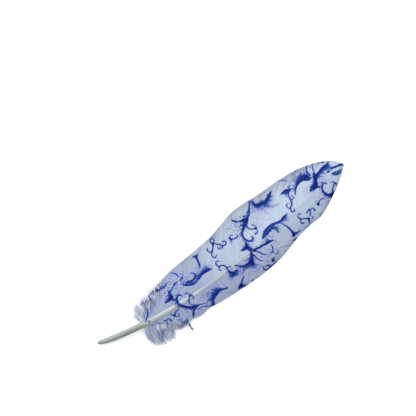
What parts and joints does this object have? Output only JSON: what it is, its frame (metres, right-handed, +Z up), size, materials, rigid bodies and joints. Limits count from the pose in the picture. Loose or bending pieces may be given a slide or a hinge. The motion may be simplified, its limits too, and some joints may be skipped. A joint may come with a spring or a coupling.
{
  "type": "goose quill feather",
  "caption": "Goose quill feather with a blue scrollwork print, lying with its outer face up: bare barrel, curved tapering shaft, one broad and one narrow vane, and loose down at the base.",
  "frame": {"origin": "middle of the feather's plan, at the height of the flat surface that it lies on", "axes": "+X from the end of the barrel to the tip of the vanes, +Y towards the broad vane, +Z up out of the outer face"},
  "size_m": [0.1806, 0.0448, 0.0091],
  "materials": {
    "printed_vane": "satin keratin barbs, pale blue white with a cobalt blue transfer print",
    "quill_keratin": "smooth ivory horn with a soft gloss",
    "down": "loose matt down, pale blue grey"
  },
  "bodies": {
    "root": {"feather": "printed_vane"}
  },
  "joints": []
}
